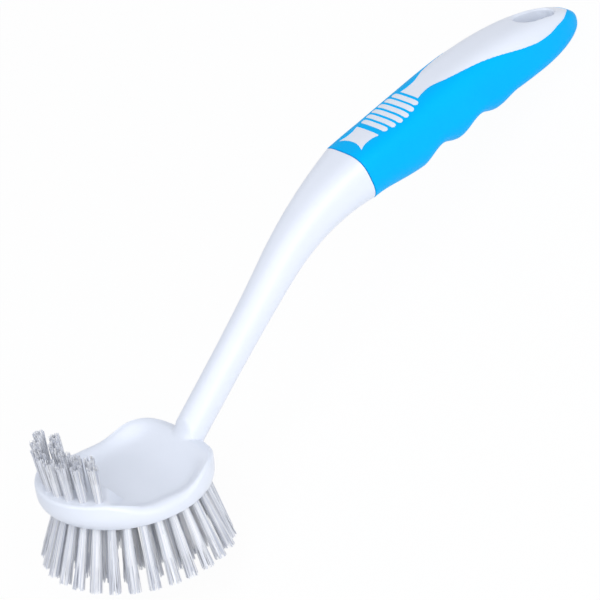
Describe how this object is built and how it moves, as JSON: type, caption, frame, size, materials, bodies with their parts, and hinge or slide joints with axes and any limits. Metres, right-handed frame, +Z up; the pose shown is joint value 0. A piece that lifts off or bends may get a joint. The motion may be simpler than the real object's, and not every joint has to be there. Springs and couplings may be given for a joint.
{
  "type": "dish brush",
  "caption": "Long-handled dish brush: oval scooped head with splayed bristle tufts and toe tufts, bent neck, soft finger-scalloped grip with a hang hole.",
  "frame": {"origin": "bottom centre of the brush's bounding box, lying at rest on its heel tufts and the end of its grip", "axes": "+X from the head towards the end of the handle, +Z up, Y across the brush"},
  "size_m": [0.3016, 0.0728, 0.081],
  "materials": {
    "white_plastic": "smooth moulded polypropylene, satin gloss",
    "blue_rubber": "soft moulded elastomer, dull sheen",
    "filament": "drawn polypropylene filaments, slightly translucent",
    "anchor_wire": "flat drawn wire"
  },
  "bodies": {
    "root": {"brush_body": "white_plastic", "soft_grip": "blue_rubber", "edge_tuft_01": "filament", "edge_tuft_02": "filament", "edge_tuft_03": "filament", "edge_tuft_04": "filament", "edge_tuft_05": "filament", "edge_tuft_06": "filament", "edge_tuft_07": "filament", "edge_tuft_08": "filament", "edge_tuft_09": "filament", "edge_tuft_10": "filament", "edge_tuft_11": "filament", "edge_tuft_12": "filament", "edge_tuft_13": "filament", "edge_tuft_14": "filament", "edge_tuft_15": "filament", "edge_tuft_16": "filament", "edge_tuft_17": "filament", "edge_tuft_18": "filament", "edge_tuft_19": "filament", "edge_tuft_20": "filament", "edge_tuft_21": "filament", "edge_tuft_22": "filament", "edge_tuft_23": "filament", "edge_tuft_24": "filament", "edge_tuft_25": "filament", "edge_tuft_26": "filament", "edge_tuft_27": "filament", "edge_tuft_28": "filament", "edge_tuft_29": "filament", "edge_tuft_30": "filament", "centre_tuft_01": "filament", "centre_tuft_02": "filament", "centre_tuft_03": "filament", "centre_tuft_04": "filament", "toe_front_tuft_01": "filament", "toe_front_tuft_02": "filament", "toe_front_tuft_03": "filament", "toe_front_tuft_04": "filament", "toe_front_tuft_05": "filament", "toe_front_tuft_06": "filament", "toe_front_tuft_07": "filament", "toe_front_tuft_08": "filament", "toe_back_tuft_01": "filament", "toe_back_tuft_02": "filament", "toe_back_tuft_03": "filament", "toe_back_tuft_04": "filament", "toe_back_tuft_05": "filament", "toe_back_tuft_06": "filament", "middle_row_tufts": "filament", "inner_row_tufts": "filament", "sole_tuft_anchors": "anchor_wire", "toe_tuft_anchors": "anchor_wire"}
  },
  "joints": []
}
